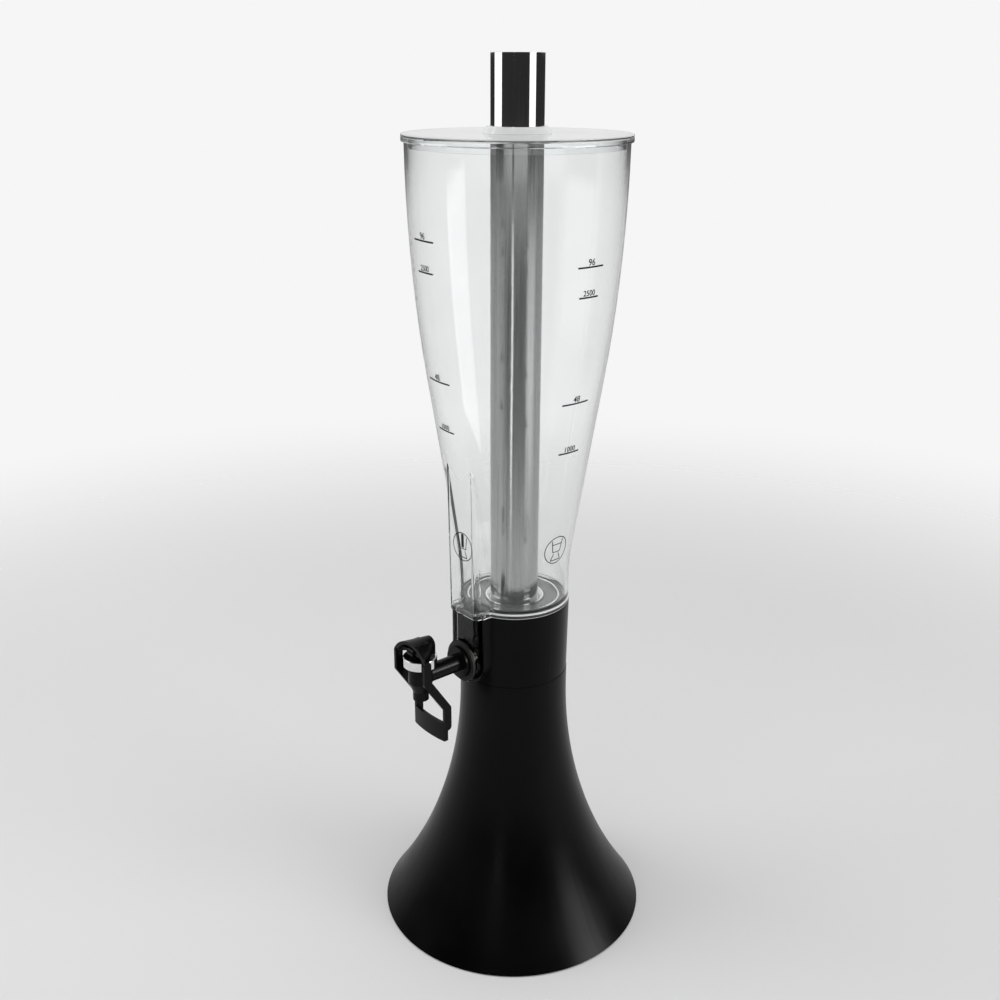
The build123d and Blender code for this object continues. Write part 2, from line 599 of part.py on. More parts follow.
def lever_plate():
    """Bowed plate that the glass pushes."""
    front = ARM_HEEL_REACH + ARM_WIDTH / 2
    half = HOOD_FRONT_HALF_WIDTH
    face = ThreePointArc((half, -front), (0, -front - PLATE_BOW), (-half, -front))
    rear = face.moved(Location((0, PLATE_DEPTH)))
    outline = make_face([face, rear, Line(face @ 0, rear @ 0), Line(face @ 1, rear @ 1)])
    plate = extrude(Pos(0, 0, GLASS_PLATE_TOP - PLATE_HEIGHT) * outline, PLATE_HEIGHT)
    return fillet(plate.edges().filter_by(Axis.Y).group_by(Axis.Z)[0], PLATE_CORNER)


def tap_lever():
    lever = hood(0) - hood(LEVER_WALL)
    lever += lever_cheeks()
    for side in (-1, 1):
        lever += lever_arm(side)
    lever += lever_plate()
    return lever - rod_across(PIVOT_PIN_RADIUS + RUN_GAP, 2 * HOOD_FRONT_HALF_WIDTH, PIVOT_REACH, PIVOT_Z)


NODES = [base_trumpet, base_collar, bottom_plate, ballast_ring, rubber_feet, container, ice_tube,
         ice_tube_bottom, lid, tap_body, tap_outer_washer, tap_inner_washer, tap_lock_nut, tap_bonnet,
         bonnet_nut, bonnet_gasket, valve_stem, valve_cup, stem_pin, valve_spring, lever_pivot_pin,
         tap_lever]

os.makedirs("parts", exist_ok=True)
for make in NODES:
    export_step(make(), f"parts/{make.__name__}.step")
export_step(screws(PLATE_SCREW_SPOTS, PLATE_SCREW_SEAT), "parts/bottom_plate_screws.step")
export_step(screws(BALLAST_SCREW_SPOTS, PLATE_SCREW_SEAT), "parts/ballast_screws.step")
export_step(screws(COLLAR_SCREW_SPOTS, SEAM_Z - DECK_THICKNESS), "parts/collar_screws.step")
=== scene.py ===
"""Looks of the beer tower: materials, printed level marks, stage, lights and camera."""

import math

import bmesh
import bpy
from mathutils import Matrix, Vector


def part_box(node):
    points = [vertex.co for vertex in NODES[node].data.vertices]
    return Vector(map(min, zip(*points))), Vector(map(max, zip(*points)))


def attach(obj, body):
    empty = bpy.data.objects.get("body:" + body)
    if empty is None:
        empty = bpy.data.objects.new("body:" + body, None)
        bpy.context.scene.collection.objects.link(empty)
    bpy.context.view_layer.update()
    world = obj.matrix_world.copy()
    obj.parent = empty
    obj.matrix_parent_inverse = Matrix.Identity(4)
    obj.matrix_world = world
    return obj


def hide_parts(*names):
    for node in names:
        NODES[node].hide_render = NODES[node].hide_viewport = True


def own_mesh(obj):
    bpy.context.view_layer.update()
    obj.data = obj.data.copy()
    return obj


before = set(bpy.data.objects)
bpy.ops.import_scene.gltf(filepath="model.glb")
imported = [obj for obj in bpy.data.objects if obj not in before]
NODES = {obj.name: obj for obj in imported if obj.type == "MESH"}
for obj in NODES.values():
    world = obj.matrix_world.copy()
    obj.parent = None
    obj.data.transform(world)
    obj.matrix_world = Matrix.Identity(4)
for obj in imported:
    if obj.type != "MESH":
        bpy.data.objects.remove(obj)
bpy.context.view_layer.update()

# Levels taken from the frame, in metres
COLLAR_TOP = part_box("base_collar")[1][2]
LIP_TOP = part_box("container")[1][2]

# Camera, in metres and degrees, fitted to the photograph
VIEW_AZIMUTH = math.radians(50.0)
VIEW_DISTANCE = 0.872
VIEW_HEIGHT = 0.690
VIEW_SIDE = 0.01143
VIEW_TILT = math.radians(20.3)
VIEW_ROLL = math.radians(0.172)
FOCAL_SHARE = 1.190
SENSOR_MM = 36.0
CLIP_START = 0.01

# Directions seen from the camera, flat on the table
TO_CAMERA = Vector((math.sin(VIEW_AZIMUTH), -math.cos(VIEW_AZIMUTH), 0))
TO_RIGHT = Vector((math.cos(VIEW_AZIMUTH), math.sin(VIEW_AZIMUTH), 0))
UP = Vector((0, 0, 1))
LEVEL = (1, 1, 0)

# Container's outer wall in metres: a foot arc, a leaning cone and a shoulder arc
WALL_FOOT_RADIUS = 0.0435
WALL_FOOT_HEIGHT = 0.020
WALL_BLEND_RADIUS = 0.190
WALL_LEAN = math.radians(8.91)
WALL_SHOULDER_RADIUS = 1.137
WALL_MOUTH_RADIUS = 0.0799
WALL_FOOT_TOP = COLLAR_TOP + WALL_FOOT_HEIGHT
CONE_LOW = WALL_FOOT_TOP + WALL_BLEND_RADIUS * math.sin(WALL_LEAN)
CONE_LOW_RADIUS = WALL_FOOT_RADIUS + WALL_BLEND_RADIUS * (1 - math.cos(WALL_LEAN))
CONE_HIGH = LIP_TOP - WALL_SHOULDER_RADIUS * math.sin(WALL_LEAN)

# Front of the pod over the tap chamber, in metres
POD_FRONT = 0.053
POD_LEAN = math.radians(1.2)

# Rings of the container in metres: inner and outer radius, bottom and top above the collar, share of light
CONTAINER_HAZE_AND_EDGE_HIGHLIGHTS = {"floor": (0.0000, 0.0395, -0.0030, 0.0050, 0.12),
                  # The floor ring is a milky haze. The edge rings are painted highlights: white haze stands
                  # for the lit top and bottom edges of the flange.
                  "upper edge highlight": (0.0430, 0.0460, 0.0032, 0.0042, 0.75),
                  "lower edge highlight": (0.0430, 0.0460, -0.0004, 0.0007, 0.75)}
# The glint rings are painted glints: a metallic sheen stands for light that the renderer doesn't carry
# through clear plastic.
CONTAINER_GLINT = {"floor rib": (0.0346, 0.0366, 0.0036, 0.0046, 0.80),
                   "tube seat": (0.0190, 0.0235, 0.0000, 0.0034, 0.80)}

# Rings of the lid in metres: inner and outer radius, bottom and top above the lip, share of light
# The plate's ring is a painted reflection: white haze in the lid's plate stands for the white it reflects at
# a grazing view. The guide's ring makes the guide collar milky.
LID_HAZE_AND_REFLECTION = {"plate": (0.0000, 0.0900, 0.0010, 0.0020, 0.55),
            "guide": (0.0000, 0.0300, 0.0020, 0.0070, 0.70)}
RING_FADE = 0.0003

# Clear plastic: tints, roughness, waviness and refraction, which is lower in the tap chamber
CLEAR_TINTS = ((0.97, 0.98, 0.98, 1.0), (0.99, 1.0, 1.0, 1.0))
CLEAR_ROUGHNESS = (0.0, 0.02)
CONTAINER_ROUGHNESS = 0.01
GLINT_ROUGHNESS = 0.25
WAVE_SCALE = 22.0
WAVE_STRENGTH = 0.05
WAVE_DEPTH = 0.0004
PLASTIC_IOR = 1.49
CHAMBER_IOR = 1.18
CHAMBER_DROP = 0.0002

# Black plastic: scale of its clouds and strength of its grain
CLOUD_SCALE = 18.0
GRAIN_STRENGTH = 0.25

# Ice tube: stretch of its drawing lines, heights between which it turns bright, and the roughness left there
DRAWN_STRETCH = (1, 1, 0.02)
BRIGHT_TUBE_LOW = 0.600
BRIGHT_TUBE_HIGH = 0.645
BRIGHT_SHARE = 0.25

# Rubber: scales of its mottle and grain, spread of its roughness, strength and depth of its grain
MOTTLE_SCALE = 60.0
RUBBER_GRAIN = 900.0
RUBBER_SPREAD = 0.1
RUBBER_STRENGTH = 0.2
RUBBER_DEPTH = 0.0002

# Noise: detail of clouds, grains and metals, and values between which colour and roughness change
CLOUD_DETAIL = 3.0
GRAIN_DETAIL = 2.0
METAL_DETAIL = 4.0
COLOUR_START = 0.35
COLOUR_END = 0.65
ROUGH_START = 0.3
ROUGH_END = 0.7

# Print in metres, and its ink
PRINT_LIFT = 0.00008
PRINT_THICKNESS = 0.00008
PRINT_SLICE = 0.001
WELD_DISTANCE = 1e-7
LINE_WIDTH = 0.0012
DIGIT_RISE = 0.0012
DIGIT_BOLD = 0.00008
DIGIT_SHARE = 0.7
LARGE_DIGITS = 0.0045
SMALL_DIGITS = 0.0039
INK_GREYS = (0.004, 0.012)
INK_ROUGHNESS = (0.5, 0.7)
INK_GLOSS = 0.2
INK_SCALE = 400.0

# Level marks in metres: number, height of its line, length of its line, height of its digits
MARKS_WITH_TUBE = [("96", 0.573, 0.026, LARGE_DIGITS), ("2500", 0.551, 0.020, SMALL_DIGITS),
                   ("48", 0.472, 0.028, LARGE_DIGITS), ("1000", 0.434, 0.021, SMALL_DIGITS)]
MARKS_WITHOUT_TUBE = [("96", 0.558, 0.024, LARGE_DIGITS), ("2500", 0.537, 0.018, SMALL_DIGITS),
                      ("48", 0.4595, 0.0255, LARGE_DIGITS), ("1000", 0.421, 0.020, SMALL_DIGITS)]
WITH_TUBE_ANGLE = math.radians(-7.0)
WITHOUT_TUBE_ANGLE = math.radians(91.0)

# Signs in metres: places, ring, and half widths and heights of the vessel and its foot about the middle
POD_SIGN_SIDE = 0.003
POD_SIGN_Z = 0.3433
WALL_SIGN_ANGLE = math.radians(92.7)
WALL_SIGN_Z = 0.3397
SIGN_RADIUS = 0.0112
SIGN_SIDES = 64
SIGN_LINE = 0.0007
SIGN_VESSEL = (0.0052, 0.0085, 0.0036, -0.0015)
SIGN_FOOT = (0.0024, -0.0028, 0.0050, -0.0085)
SIGN_TUBE_LOW = -0.0005
SIGN_TUBE_HIGH = 0.0105
SIGN_TUBE_WIDTH = 0.0030
SIGN_FILL_HALF = 0.0047
SIGN_FILL_HEIGHT = 0.0050

# Floor in metres: radius, and the radii between which it fades out
FLOOR_RADIUS = 1.6
FLOOR_SIDES = 96
FLOOR_FADE = (0.6, 1.55)
FLOOR_GREYS = (0.75, 0.77)
FLOOR_ROUGHNESS = 0.9
FLOOR_GLOSS = 0.1
FLOOR_SCALE = 0.8

# Softboxes: angle to the right of the camera in degrees and width in metres, then what they share
RIGHT_BOX_ANGLE = 67
BOXES = {"right_box": (RIGHT_BOX_ANGLE, 0.72), "left_box": (-92, 0.90)}
BOX_TALL = 1.0
BOX_DISTANCE = 1.15
BOX_HEIGHT = 1.08
BOX_RADIANCE = 2.6

# Light of the room and the backdrop, which grows dimmer between two heights
ROOM_LIGHT = 0.72
BACKDROP_LIGHT = 0.92
CEILING_LIGHT = 0.66
CEILING_RISE = (0.1, 0.6)

# Studio that only reflections show: lights, and the cosines or heights between which they fade in
DARK_STUDIO = 0.05
LIT_BACK = 0.85
BACK_EDGE = (0.2, 0.8)
BACK_RISE = (0.0, 0.03)
LIT_FLOOR = 0.60
FLOOR_RISE = (-0.15, -0.04)
FRONT_FLOOR = 0.18
FRONT_EDGE = (0.3, 0.9)
FLOOR_GLOWS = {"right": (71, 1.2), "left": (-81, 0.65)}
FLOOR_GLOW_EDGE = (0.88, 0.99)

# A narrow line of the studio: angle in degrees, cosines of its edge, light, heights where it turns dark
LINE_ANGLE = -18
LINE_EDGE = (0.9972, 0.9984)
LINE_GLOW = 2.4
LINE_SPLIT = (-0.14, -0.12)

# Heights between which the patches below the horizon end, and a start that lies below every ray
LOW_END = (-0.065, -0.055)
NO_START = (-1.2, -1.1)

# Patches of the studio: angle, cosines of its edge, heights of its start and end, light, rays that see it
PATCHES = {"front glow": (0, FRONT_EDGE, (-0.17, -0.09), LOW_END, 0.8, None),
           "dark under box": (RIGHT_BOX_ANGLE, (0.90, 0.97), (-0.14, -0.10), LOW_END, DARK_STUDIO, None),
           "dark line": (LINE_ANGLE, LINE_EDGE, LINE_SPLIT, LOW_END, DARK_STUDIO, None),
           "line in the tube": (LINE_ANGLE, LINE_EDGE, NO_START, LINE_SPLIT, LINE_GLOW, "tube"),
           "line in the base": (LINE_ANGLE, LINE_EDGE, (0.02, 0.05), (0.30, 0.36), LINE_GLOW, None),
           "side glow": (70, (0.965, 0.990), (0.10, 0.18), (0.40, 0.48), 13.0, "outside"),
           "wall glow": (72, (0.968, 0.980), (-0.048, -0.036), (0.20, 0.30), 1.9, "wall")}


def add_node(tree, kind, **inputs):
    """New shader node with some inputs set by name."""
    node = tree.nodes.new(kind)
    for name, value in inputs.items():
        node.inputs[name.replace("_", " ")].default_value = value
    return node


def vector_math(tree, operation, source, constant=(0, 0, 0)):
    """New vector node that works on a source and a constant."""
    node = tree.nodes.new("ShaderNodeVectorMath")
    node.operation = operation
    node.inputs[1].default_value = constant
    tree.links.new(source, node.inputs[0])
    return node


def product(tree, first, second):
    """Product of two values."""
    times = tree.nodes.new("ShaderNodeMath")
    times.operation = "MULTIPLY"
    tree.links.new(first, times.inputs[0])
    tree.links.new(second, times.inputs[1])
    return times.outputs["Value"]


def eased(tree, source, start, end, low=0.0, high=1.0):
    """Value that eases from low to high while the source goes from start to end."""
    spread = add_node(tree, "ShaderNodeMapRange", From_Min=start, From_Max=end, To_Min=low, To_Max=high)
    spread.interpolation_type = "SMOOTHSTEP"
    tree.links.new(source, spread.inputs["Value"])
    return spread.outputs["Result"]


def faded(tree, source, start, end):
    """Value that eases from 1 to 0 while the source goes from start to end."""
    return eased(tree, source, start, end, 1.0, 0.0)


def window(tree, source, rise_start, rise_end, fall_start, fall_end):
    """Value that eases from 0 up to 1 and later back to 0 while the source grows."""
    return product(tree, eased(tree, source, rise_start, rise_end), faded(tree, source, fall_start, fall_end))


def blend(tree, share, first, second):
    """Colour between two, each a socket or a colour."""
    mix = tree.nodes.new("ShaderNodeMix")
    mix.data_type = "RGBA"
    tree.links.new(share, mix.inputs["Factor"])
    for socket, value in ((mix.inputs[6], first), (mix.inputs[7], second)):
        if isinstance(value, tuple):
            socket.default_value = value
        else:
            tree.links.new(value, socket)
    return mix.outputs[2]


def grey(value):
    """Colour of one grey level."""
    return (value, value, value, 1.0)


def new_material(name):
    """Empty node material with its Principled shader."""
    material = bpy.data.materials.new(name)
    material.use_nodes = True
    tree = material.node_tree
    return material, tree, tree.nodes["Principled BSDF"]


def noise_of(tree, scale, detail=CLOUD_DETAIL, stretch=(1, 1, 1)):
    """Noise in object space, stretched along the axes."""
    place = tree.nodes.new("ShaderNodeTexCoord")
    mapping = add_node(tree, "ShaderNodeMapping", Scale=stretch)
    noise = add_node(tree, "ShaderNodeTexNoise", Scale=scale, Detail=detail)
    tree.links.new(place.outputs["Object"], mapping.inputs["Vector"])
    tree.links.new(mapping.outputs["Vector"], noise.inputs["Vector"])
    return noise.outputs["Fac"]


def place_of(tree):
    """Distance from the tower's axis and height above the table, in metres."""
    place = tree.nodes.new("ShaderNodeTexCoord").outputs["Object"]
    split = tree.nodes.new("ShaderNodeSeparateXYZ")
    tree.links.new(place, split.inputs["Vector"])
    flat = vector_math(tree, "MULTIPLY", place, LEVEL)
    reach = vector_math(tree, "LENGTH", flat.outputs["Vector"])
    return reach.outputs["Value"], split.outputs["Z"]


def colour_by(tree, source, shader, low, high):
    """Base colour that goes from one colour to another with a noise."""
    ramp = tree.nodes.new("ShaderNodeValToRGB")
    first, last = ramp.color_ramp.elements
    first.position = COLOUR_START
    first.color = low
    last.position = COLOUR_END
    last.color = high
    tree.links.new(source, ramp.inputs["Fac"])
    tree.links.new(ramp.outputs["Color"], shader.inputs["Base Color"])


def grey_by(tree, source, shader, low, high):
    """Base colour that goes from one grey level to another with a noise."""
    colour_by(tree, source, shader, grey(low), grey(high))


def rough_by(tree, source, shader, low, high):
    """Roughness that goes from one value to another with a noise."""
    tree.links.new(eased(tree, source, ROUGH_START, ROUGH_END, low, high), shader.inputs["Roughness"])


def bump_by(tree, source, shader, strength, depth):
    """Bump that follows a noise."""
    bump = add_node(tree, "ShaderNodeBump", Strength=strength, Distance=depth)
    tree.links.new(source, bump.inputs["Height"])
    tree.links.new(bump.outputs["Normal"], shader.inputs["Normal"])


def moulded_black(name, greys, roughness, gloss, grain, depth):
    """Black moulded plastic with faint clouds and a fine grain."""
    material, tree, shader = new_material(name)
    shader.inputs["Specular IOR Level"].default_value = gloss
    cloud = noise_of(tree, CLOUD_SCALE)
    grey_by(tree, cloud, shader, *greys)
    rough_by(tree, cloud, shader, *roughness)
    bump_by(tree, noise_of(tree, grain, GRAIN_DETAIL), shader, GRAIN_STRENGTH, depth)
    return material


def clear_plastic(name):
    """Polished clear plastic with faint mould waviness."""
    material, tree, shader = new_material(name)
    shader.inputs["Transmission Weight"].default_value = 1.0
    shader.inputs["IOR"].default_value = PLASTIC_IOR
    wave = noise_of(tree, WAVE_SCALE, GRAIN_DETAIL)
    colour_by(tree, wave, shader, *CLEAR_TINTS)
    rough_by(tree, wave, shader, *CLEAR_ROUGHNESS)
    bump_by(tree, wave, shader, WAVE_STRENGTH, WAVE_DEPTH)
    return material


def within(tree, source, low, high):
    """Value that is 1 between two limits and fades to 0 just outside them."""
    return window(tree, source, low - RING_FADE, low, high, high + RING_FADE)


def left_clear(tree, rings, level):
    """Share of light that passes unchanged: 1 outside the rings and less in them."""
    reach, height = place_of(tree)
    clear = None
    for near, far, low, high, taken in rings.values():
        ring = within(tree, reach, near, far)
        layer = within(tree, height, level + low, level + high)
        kept = eased(tree, product(tree, ring, layer), 0.0, 1.0, 1.0, 1.0 - taken)
        clear = product(tree, clear, kept) if clear else kept
    return clear


def hazy_and_highlit_plastic(name, rings, level):
    """Clear plastic with rings that scatter light: a milky haze in some, painted highlights and reflections
    in others.
    """
    material = clear_plastic(name)
    tree = material.node_tree
    shader = tree.nodes["Principled BSDF"]
    tree.links.new(left_clear(tree, rings, level), shader.inputs["Transmission Weight"])
    return material


def container_plastic():
    """Clear plastic with a hazy floor and painted highlights at its edges. Its floor rib and tube seat get a
    painted glint, a metallic sheen that stands for light the renderer doesn't carry through clear plastic.
    Its tap chamber refracts less.
    """
    material = hazy_and_highlit_plastic("clear_container", CONTAINER_HAZE_AND_EDGE_HIGHLIGHTS, COLLAR_TOP)
    tree = material.node_tree
    shader = tree.nodes["Principled BSDF"]
    # Painted glint: the floor rib and tube seat turn metallic and throw back the studio as a white ring and
    # crescent.
    glint = faded(tree, left_clear(tree, CONTAINER_GLINT, COLLAR_TOP), 0.0, 1.0)
    roughness = eased(tree, glint, 0.0, 1.0, CONTAINER_ROUGHNESS, GLINT_ROUGHNESS)
    _, height = place_of(tree)
    chamber_top = COLLAR_TOP - CHAMBER_DROP
    refraction = eased(tree, height, chamber_top - RING_FADE, chamber_top, CHAMBER_IOR, PLASTIC_IOR)
    tree.links.new(glint, shader.inputs["Metallic"])
    tree.links.new(roughness, shader.inputs["Roughness"])
    tree.links.new(refraction, shader.inputs["IOR"])
    return material


def metal(name, greys, roughness, scale, strength, depth, stretch=(1, 1, 1)):
    """Metal with a fine finish, which a stretch gives a direction."""
    material, tree, shader = new_material(name)
    shader.inputs["Metallic"].default_value = 1.0
    lines = noise_of(tree, scale, METAL_DETAIL, stretch)
    grey_by(tree, lines, shader, *greys)
    rough_by(tree, lines, shader, *roughness)
    bump_by(tree, lines, shader, strength, depth)
    return material


def tube_steel():
    """Drawn steel tube, satin in the container and mirror bright where it stands out of the lid."""
    material = metal("tube_steel", (0.40, 0.46), (0.13, 0.17), scale=700, strength=0.02, depth=0.00005,
                     stretch=DRAWN_STRETCH)
    tree = material.node_tree
    roughness = tree.nodes["Principled BSDF"].inputs["Roughness"]
    satin = roughness.links[0].from_socket
    _, height = place_of(tree)
    bright = eased(tree, height, BRIGHT_TUBE_LOW, BRIGHT_TUBE_HIGH, 1.0, BRIGHT_SHARE)
    tree.links.new(product(tree, satin, bright), roughness)
    return material


def soft_rubber(name, greys, roughness):
    """Rubber or silicone with a dusty mottle."""
    material, tree, shader = new_material(name)
    mottle = noise_of(tree, MOTTLE_SCALE)
    grey_by(tree, mottle, shader, *greys)
    rough_by(tree, mottle, shader, roughness - RUBBER_SPREAD, roughness + RUBBER_SPREAD)
    bump_by(tree, noise_of(tree, RUBBER_GRAIN, GRAIN_DETAIL), shader, RUBBER_STRENGTH, RUBBER_DEPTH)
    return material


def printing_ink():
    """Black screen print with faint unevenness."""
    material, tree, shader = new_material("printing_ink")
    shader.inputs["Specular IOR Level"].default_value = INK_GLOSS
    cloud = noise_of(tree, INK_SCALE)
    grey_by(tree, cloud, shader, *INK_GREYS)
    rough_by(tree, cloud, shader, *INK_ROUGHNESS)
    return material


def dress(material, *names):
    """Gives CAD nodes a material."""
    for name in names:
        mesh = NODES[name].data
        mesh.materials.clear()
        mesh.materials.append(material)


def dress_all():
    """Materials of every CAD node."""
    satin = moulded_black("black_satin", (0.001, 0.002), (0.28, 0.35), gloss=0.09, grain=900, depth=0.0001)
    plain = moulded_black("black_plain", (0.008, 0.014), (0.55, 0.65), gloss=0.30, grain=500, depth=0.0003)
    gloss = moulded_black("black_gloss", (0.002, 0.004), (0.16, 0.26), gloss=0.10, grain=1200, depth=0.00006)
    iron = metal("iron", (0.06, 0.13), (0.50, 0.70), scale=90, strength=0.50, depth=0.0006)
    zinc = metal("zinc", (0.52, 0.64), (0.25, 0.40), scale=300, strength=0.10, depth=0.0001)
    steel = metal("steel", (0.54, 0.64), (0.15, 0.30), scale=700, strength=0.06, depth=0.0001)
    chrome = metal("chrome", (0.75, 0.81), (0.03, 0.08), scale=200, strength=0.03, depth=0.00005)
    rubber = soft_rubber("rubber", (0.008, 0.016), roughness=0.70)
    silicone = soft_rubber("silicone", (0.62, 0.72), roughness=0.45)
    dress(satin, "base_trumpet", "base_collar")
    dress(plain, "bottom_plate")
    dress(gloss, "tap_body", "tap_lever", "tap_lock_nut", "tap_bonnet", "lever_pivot_pin")
    dress(iron, "ballast_ring")
    dress(zinc, "bottom_plate_screws", "ballast_screws", "collar_screws")
    dress(tube_steel(), "ice_tube", "ice_tube_bottom")
    dress(steel, "valve_stem", "stem_pin", "valve_spring")
    dress(chrome, "bonnet_nut")
    dress(rubber, "rubber_feet", "tap_outer_washer")
    dress(silicone, "tap_inner_washer", "bonnet_gasket", "valve_cup")
    dress(container_plastic(), "container")
    dress(hazy_and_highlit_plastic("clear_lid", LID_HAZE_AND_REFLECTION, LIP_TOP), "lid")


def wall_radius(z):
    """Outer radius of the container's wall at a height."""
    if z < CONE_LOW:
        rise = z - WALL_FOOT_TOP
        return WALL_FOOT_RADIUS + WALL_BLEND_RADIUS - math.sqrt(WALL_BLEND_RADIUS ** 2 - rise ** 2)
    if z > CONE_HIGH:
        drop = LIP_TOP - z
        return WALL_MOUTH_RADIUS - WALL_SHOULDER_RADIUS + math.sqrt(WALL_SHOULDER_RADIUS ** 2 - drop ** 2)
    return CONE_LOW_RADIUS + (z - CONE_LOW) * math.tan(WALL_LEAN)


def digits(shape, text, height, low):
    """Adds flat digits, centred, standing on a height."""
    curve = bpy.data.curves.new("digits", "FONT")
    curve.body = text
    curve.size = height / DIGIT_SHARE
    curve.align_x = "CENTER"
    curve.offset = DIGIT_BOLD
    curve.extrude = PRINT_THICKNESS / 2
    holder = bpy.data.objects.new("digits", curve)
    mesh = bpy.data.meshes.new_from_object(holder)
    mesh.transform(Matrix.Translation((0, low, 0)))
    shape.from_mesh(mesh)
    bpy.data.objects.remove(holder)
    bpy.data.curves.remove(curve)
    bpy.data.meshes.remove(mesh)


def ribbon(shape, points, width, closed=False):
    """Adds a flat line of one width along points, as a thin closed strip."""
    count = len(points)
    rows = []
    for index in range(count):
        before = Vector(points[index - 1 if index or closed else 0])
        after = Vector(points[(index + 1) % count if index + 1 < count or closed else index])
        along = (after - before).normalized()
        side = Vector((-along.y, along.x)) * width / 2
        row = []
        for offset, depth in ((side, 1), (-side, 1), (-side, -1), (side, -1)):
            spot = Vector(points[index]) + offset
            row.append(shape.verts.new((spot.x, spot.y, depth * PRINT_THICKNESS / 2)))
        rows.append(row)
    pairs = list(zip(rows, rows[1:]))
    if closed:
        pairs.append((rows[-1], rows[0]))
    else:
        shape.faces.new(rows[0][::-1])
        shape.faces.new(rows[-1])
    for row, following in pairs:
        for corner in range(4):
            other = (corner + 1) % 4
            shape.faces.new((row[corner], row[other], following[other], following[corner]))


def taper(shape, top_half, top, bottom_half, bottom):
    """Adds the outline of a taper that is open at its top."""
    corners = [(-top_half, top), (-bottom_half, bottom), (bottom_half, bottom), (top_half, top)]
    for start, end in zip(corners, corners[1:]):
        ribbon(shape, [start, end], SIGN_LINE)


def sign(shape, with_tube):
    """Adds a plain ring with a vessel on a foot, which holds either a solid tube or a level line."""
    ring = []
    for step in range(SIGN_SIDES):
        turn = 2 * math.pi * step / SIGN_SIDES
        ring.append((SIGN_RADIUS * math.cos(turn), SIGN_RADIUS * math.sin(turn)))
    ribbon(shape, ring, SIGN_LINE, True)
    taper(shape, *SIGN_VESSEL)
    taper(shape, *SIGN_FOOT)
    if with_tube:
        ribbon(shape, [(0, SIGN_TUBE_LOW), (0, SIGN_TUBE_HIGH)], SIGN_TUBE_WIDTH)
    else:
        ribbon(shape, [(-SIGN_FILL_HALF, SIGN_FILL_HEIGHT), (SIGN_FILL_HALF, SIGN_FILL_HEIGHT)], SIGN_LINE)


def wrap(shape, angle, z):
    """Lays flat marks on the container's wall about an angle and a height."""
    reach = max(abs(vert.co.x) for vert in shape.verts)
    slices = int(reach / PRINT_SLICE)
    for step in range(-slices, slices + 1):
        geometry = shape.verts[:] + shape.edges[:] + shape.faces[:]
        bmesh.ops.bisect_plane(shape, geom=geometry, dist=WELD_DISTANCE, plane_co=(step * PRINT_SLICE, 0, 0),
                               plane_no=(1, 0, 0))
    along = wall_radius(z)
    for vert in shape.verts:
        height = z + vert.co.y
        radius = wall_radius(height) + PRINT_LIFT + vert.co.z
        turn = angle + vert.co.x / along
        vert.co = (radius * math.sin(turn), -radius * math.cos(turn), height)


def lay_on_pod(shape, side, z):
    """Lays flat marks on the leaning front of the pod about a sideways place and a height."""
    for vert in shape.verts:
        height = z + vert.co.y
        front = POD_FRONT + (height - COLLAR_TOP) * math.tan(POD_LEAN) + PRINT_LIFT + vert.co.z
        vert.co = (side + vert.co.x, -front, height)


def join(whole, shape):
    """Adds one shape to another and frees it."""
    mesh = bpy.data.meshes.new("part")
    shape.to_mesh(mesh)
    whole.from_mesh(mesh)
    shape.free()
    bpy.data.meshes.remove(mesh)


def add_marks(name, marks, angle, with_tube, ink):
    """One set of level marks with its sign, riding on the container."""
    mesh = bpy.data.meshes.new(name)
    whole = bmesh.new()
    for text, z, length, height in marks:
        shape = bmesh.new()
        ribbon(shape, [(-length / 2, 0), (length / 2, 0)], LINE_WIDTH)
        digits(shape, text, height, DIGIT_RISE)
        wrap(shape, angle, z)
        join(whole, shape)
    shape = bmesh.new()
    sign(shape, with_tube)
    if with_tube:
        lay_on_pod(shape, POD_SIGN_SIDE, POD_SIGN_Z)
    else:
        wrap(shape, WALL_SIGN_ANGLE, WALL_SIGN_Z)
    join(whole, shape)
    bmesh.ops.remove_doubles(whole, verts=whole.verts, dist=WELD_DISTANCE)
    bmesh.ops.recalc_face_normals(whole, faces=whole.faces)
    whole.to_mesh(mesh)
    whole.free()
    mesh.materials.append(ink)
    piece = bpy.data.objects.new(name, mesh)
    bpy.context.scene.collection.objects.link(piece)
    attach(piece, "container")


def add_spring():
    """Copy of the valve spring with a mesh of its own, riding on the container in place of the hidden node.
    """
    node = NODES["valve_spring"]
    piece = bpy.data.objects.new("spring_coil", node.data.copy())
    piece.matrix_world = node.matrix_world
    bpy.context.scene.collection.objects.link(piece)
    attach(piece, "container")
    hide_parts("valve_spring")
    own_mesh(piece)


def floor_paper():
    """Pale paper that fades out away from the object."""
    material, tree, shader = new_material("floor_paper")
    grey_by(tree, noise_of(tree, FLOOR_SCALE), shader, *FLOOR_GREYS)
    shader.inputs["Roughness"].default_value = FLOOR_ROUGHNESS
    shader.inputs["Specular IOR Level"].default_value = FLOOR_GLOSS
    place = tree.nodes.new("ShaderNodeTexCoord").outputs["Object"]
    reach = vector_math(tree, "LENGTH", place)
    gone = tree.nodes.new("ShaderNodeBsdfTransparent")
    mix = tree.nodes.new("ShaderNodeMixShader")
    tree.links.new(eased(tree, reach.outputs["Value"], *FLOOR_FADE), mix.inputs["Fac"])
    tree.links.new(shader.outputs["BSDF"], mix.inputs[1])
    tree.links.new(gone.outputs["BSDF"], mix.inputs[2])
    tree.links.new(mix.outputs["Shader"], tree.nodes["Material Output"].inputs["Surface"])
    return material


